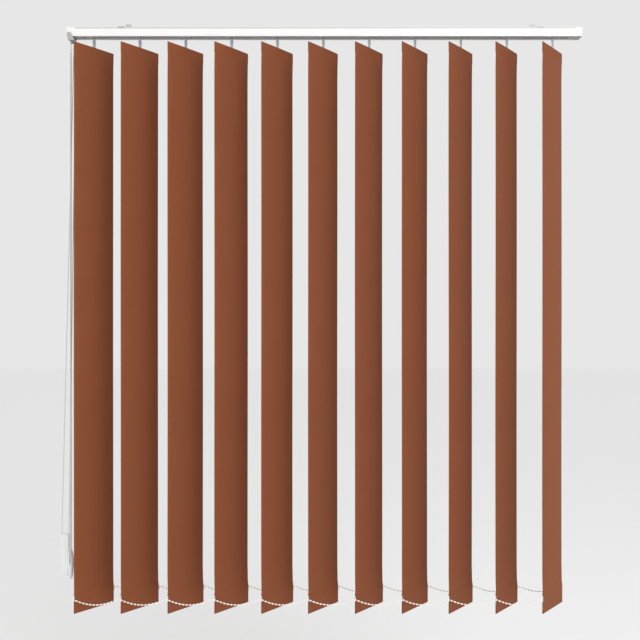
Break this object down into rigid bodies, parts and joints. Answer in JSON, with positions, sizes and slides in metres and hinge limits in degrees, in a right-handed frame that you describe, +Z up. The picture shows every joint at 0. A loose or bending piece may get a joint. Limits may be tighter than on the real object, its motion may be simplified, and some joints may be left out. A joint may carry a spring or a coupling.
{
  "type": "vertical blind",
  "caption": "Vertical blind with cloth vanes on sliding trucks in a white headrail, a bead chain that tilts them and a weighted draw cord that stacks them to one side.",
  "frame": {"origin": "centre of the rectangle of four wall screw holes, on the wall face", "axes": "+X along the headrail to the right as seen from the room, +Y into the wall, +Z up"},
  "size_m": [1.3081, 0.1341, 1.4883],
  "materials": {
    "rail_white": "satin white powder coat on extruded aluminium",
    "plastic_white": "moulded white plastic",
    "plastic_natural": "natural acetal, self-lubricating",
    "rod_aluminium": "drawn fluted bar",
    "stem_clear": "translucent grey moulding",
    "vane_cloth": "brown woven polyester, stiffened",
    "weight_plastic": "off-white plastic plate",
    "link_chain": "off-white beads moulded on a thread",
    "cord_white": "braided polyester cord",
    "bead_chain": "white beads on a cord",
    "control_plastic": "moulded pale plastic",
    "bracket_steel": "zinc plated and lacquered steel"
  },
  "bodies": {
    "root": {"headrail": "rail_white", "control_end_cap": "plastic_white", "far_end_cap": "plastic_white", "truck_1": "plastic_natural", "draw_cord": "cord_white", "tilt_chain": "bead_chain", "cord_weight": "control_plastic", "chain_weight": "control_plastic", "bracket_left": "bracket_steel", "bracket_right": "bracket_steel", "rail_clips": "bracket_steel"},
    "vane_turn_1": {"stem_1": "stem_clear", "vane_1": "vane_cloth", "weight_1": "weight_plastic"},
    "truck_slide_11": {"truck_11": "plastic_natural"},
    "truck_slide_2": {"truck_2": "plastic_natural"},
    "truck_slide_3": {"truck_3": "plastic_natural"},
    "truck_slide_4": {"truck_4": "plastic_natural"},
    "truck_slide_5": {"truck_5": "plastic_natural"},
    "truck_slide_6": {"truck_6": "plastic_natural"},
    "truck_slide_7": {"truck_7": "plastic_natural"},
    "truck_slide_8": {"truck_8": "plastic_natural"},
    "truck_slide_9": {"truck_9": "plastic_natural"},
    "truck_slide_10": {"truck_10": "plastic_natural"},
    "vane_turn_2": {"stem_2": "stem_clear", "vane_2": "vane_cloth", "weight_2": "weight_plastic"},
    "vane_turn_3": {"stem_3": "stem_clear", "vane_3": "vane_cloth", "weight_3": "weight_plastic"},
    "vane_turn_4": {"stem_4": "stem_clear", "vane_4": "vane_cloth", "weight_4": "weight_plastic"},
    "vane_turn_5": {"stem_5": "stem_clear", "vane_5": "vane_cloth", "weight_5": "weight_plastic"},
    "vane_turn_6": {"stem_6": "stem_clear", "vane_6": "vane_cloth", "weight_6": "weight_plastic"},
    "vane_turn_7": {"stem_7": "stem_clear", "vane_7": "vane_cloth", "weight_7": "weight_plastic"},
    "vane_turn_8": {"stem_8": "stem_clear", "vane_8": "vane_cloth", "weight_8": "weight_plastic"},
    "vane_turn_9": {"stem_9": "stem_clear", "vane_9": "vane_cloth", "weight_9": "weight_plastic"},
    "vane_turn_10": {"stem_10": "stem_clear", "vane_10": "vane_cloth", "weight_10": "weight_plastic"},
    "vane_turn_11": {"stem_11": "stem_clear", "vane_11": "vane_cloth", "weight_11": "weight_plastic"},
    "link_chain_front": {"bottom_chain_front": "link_chain"},
    "link_chain_back": {"bottom_chain_back": "link_chain"},
    "tilt_drive": {"tilt_rod": "rod_aluminium", "chain_sprocket": "plastic_natural"},
    "return_wheel": {"return_pulley": "plastic_natural"},
    "weight_wheel": {"weight_pulley": "plastic_natural"}
  },
  "joints": [
    {"name": "tilt", "type": "hinge", "parent": "root", "child": "vane_turn_1", "pos_m": [-0.5935, -0.075, -0.2], "axis": [0, 0, 1], "range_deg": [-42.5, 113.5]},
    {"name": "draw", "type": "slide", "parent": "root", "child": "truck_slide_11", "axis": [-1, 0, 0], "range_m": [0, 0.95], "deforming": ["bottom_chain_front", "bottom_chain_back"]},
    {"name": "truck_2_slide", "type": "slide", "parent": "root", "child": "truck_slide_2", "axis": [-1, 0, 0], "range_m": [0, 0.096]},
    {"name": "truck_3_slide", "type": "slide", "parent": "root", "child": "truck_slide_3", "axis": [-1, 0, 0], "range_m": [0, 0.191]},
    {"name": "truck_4_slide", "type": "slide", "parent": "root", "child": "truck_slide_4", "axis": [-1, 0, 0], "range_m": [0, 0.286]},
    {"name": "truck_5_slide", "type": "slide", "parent": "root", "child": "truck_slide_5", "axis": [-1, 0, 0], "range_m": [0, 0.381]},
    {"name": "truck_6_slide", "type": "slide", "parent": "root", "child": "truck_slide_6", "axis": [-1, 0, 0], "range_m": [0, 0.476]},
    {"name": "truck_7_slide", "type": "slide", "parent": "root", "child": "truck_slide_7", "axis": [-1, 0, 0], "range_m": [0, 0.571]},
    {"name": "truck_8_slide", "type": "slide", "parent": "root", "child": "truck_slide_8", "axis": [-1, 0, 0], "range_m": [0, 0.666]},
    {"name": "truck_9_slide", "type": "slide", "parent": "root", "child": "truck_slide_9", "axis": [-1, 0, 0], "range_m": [0, 0.761]},
    {"name": "truck_10_slide", "type": "slide", "parent": "root", "child": "truck_slide_10", "axis": [-1, 0, 0], "range_m": [0, 0.856]},
    {"name": "vane_2_turn", "type": "hinge", "parent": "truck_slide_2", "child": "vane_turn_2", "pos_m": [-0.4785, -0.075, -0.2], "axis": [0, 0, 1], "range_deg": [-43.5, 114.5]},
    {"name": "vane_3_turn", "type": "hinge", "parent": "truck_slide_3", "child": "vane_turn_3", "pos_m": [-0.3635, -0.075, -0.2], "axis": [0, 0, 1], "range_deg": [-43.5, 114.5]},
    {"name": "vane_4_turn", "type": "hinge", "parent": "truck_slide_4", "child": "vane_turn_4", "pos_m": [-0.2485, -0.075, -0.2], "axis": [0, 0, 1], "range_deg": [-43.5, 114.5]},
    {"name": "vane_5_turn", "type": "hinge", "parent": "truck_slide_5", "child": "vane_turn_5", "pos_m": [-0.1335, -0.075, -0.2], "axis": [0, 0, 1], "range_deg": [-43.5, 114.5]},
    {"name": "vane_6_turn", "type": "hinge", "parent": "truck_slide_6", "child": "vane_turn_6", "pos_m": [-0.0185, -0.075, -0.2], "axis": [0, 0, 1], "range_deg": [-43.5, 114.5]},
    {"name": "vane_7_turn", "type": "hinge", "parent": "truck_slide_7", "child": "vane_turn_7", "pos_m": [0.0965, -0.075, -0.2], "axis": [0, 0, 1], "range_deg": [-43.5, 114.5]},
    {"name": "vane_8_turn", "type": "hinge", "parent": "truck_slide_8", "child": "vane_turn_8", "pos_m": [0.2115, -0.075, -0.2], "axis": [0, 0, 1], "range_deg": [-43.5, 114.5]},
    {"name": "vane_9_turn", "type": "hinge", "parent": "truck_slide_9", "child": "vane_turn_9", "pos_m": [0.3265, -0.075, -0.2], "axis": [0, 0, 1], "range_deg": [-43.5, 114.5]},
    {"name": "vane_10_turn", "type": "hinge", "parent": "truck_slide_10", "child": "vane_turn_10", "pos_m": [0.4415, -0.075, -0.2], "axis": [0, 0, 1], "range_deg": [-43.5, 114.5]},
    {"name": "vane_11_turn", "type": "hinge", "parent": "truck_slide_11", "child": "vane_turn_11", "pos_m": [0.5565, -0.075, -0.2], "axis": [0, 0, 1], "range_deg": [-43.5, 114.5]},
    {"name": "link_front_pivot", "type": "hinge", "parent": "vane_turn_1", "child": "link_chain_front", "pos_m": [-0.63421, -0.13207, -1.436], "axis": [0, 0, 1], "range_deg": [-115.5, 44.5]},
    {"name": "link_back_pivot", "type": "hinge", "parent": "vane_turn_1", "child": "link_chain_back", "pos_m": [-0.5528, -0.01793, -1.436], "axis": [0, 0, 1], "range_deg": [-115.5, 44.5]},
    {"name": "rod_spin", "type": "hinge", "parent": "root", "child": "tilt_drive", "pos_m": [0, -0.0825, -0.0318], "axis": [1, 0, 0], "range_deg": [-520, 1370]},
    {"name": "return_spin", "type": "hinge", "parent": "root", "child": "return_wheel", "pos_m": [0.6155, -0.0685, -0.0305], "axis": [0, 1, 0], "range_deg": [-10, 12100]},
    {"name": "weight_spin", "type": "hinge", "parent": "root", "child": "weight_wheel", "pos_m": [-0.6682, -0.0685, -1.3155], "axis": [0, 1, 0], "range_deg": [-10, 6200]}
  ],
  "couplings": [
    {"joint": "truck_2_slide", "follows": "draw", "ratio": 0.1},
    {"joint": "truck_3_slide", "follows": "draw", "ratio": 0.2},
    {"joint": "truck_4_slide", "follows": "draw", "ratio": 0.3},
    {"joint": "truck_5_slide", "follows": "draw", "ratio": 0.4},
    {"joint": "truck_6_slide", "follows": "draw", "ratio": 0.5},
    {"joint": "truck_7_slide", "follows": "draw", "ratio": 0.6},
    {"joint": "truck_8_slide", "follows": "draw", "ratio": 0.7},
    {"joint": "truck_9_slide", "follows": "draw", "ratio": 0.8},
    {"joint": "truck_10_slide", "follows": "draw", "ratio": 0.9},
    {"joint": "vane_2_turn", "follows": "tilt", "ratio": 1},
    {"joint": "vane_3_turn", "follows": "tilt", "ratio": 1},
    {"joint": "vane_4_turn", "follows": "tilt", "ratio": 1},
    {"joint": "vane_5_turn", "follows": "tilt", "ratio": 1},
    {"joint": "vane_6_turn", "follows": "tilt", "ratio": 1},
    {"joint": "vane_7_turn", "follows": "tilt", "ratio": 1},
    {"joint": "vane_8_turn", "follows": "tilt", "ratio": 1},
    {"joint": "vane_9_turn", "follows": "tilt", "ratio": 1},
    {"joint": "vane_10_turn", "follows": "tilt", "ratio": 1},
    {"joint": "vane_11_turn", "follows": "tilt", "ratio": 1},
    {"joint": "link_front_pivot", "follows": "tilt", "ratio": -1},
    {"joint": "link_back_pivot", "follows": "tilt", "ratio": -1},
    {"joint": "rod_spin", "follows": "tilt", "ratio": 12},
    {"joint": "return_spin", "follows": "draw", "rad_per_m": 222.22},
    {"joint": "weight_spin", "follows": "draw", "rad_per_m": 113.64}
  ]
}
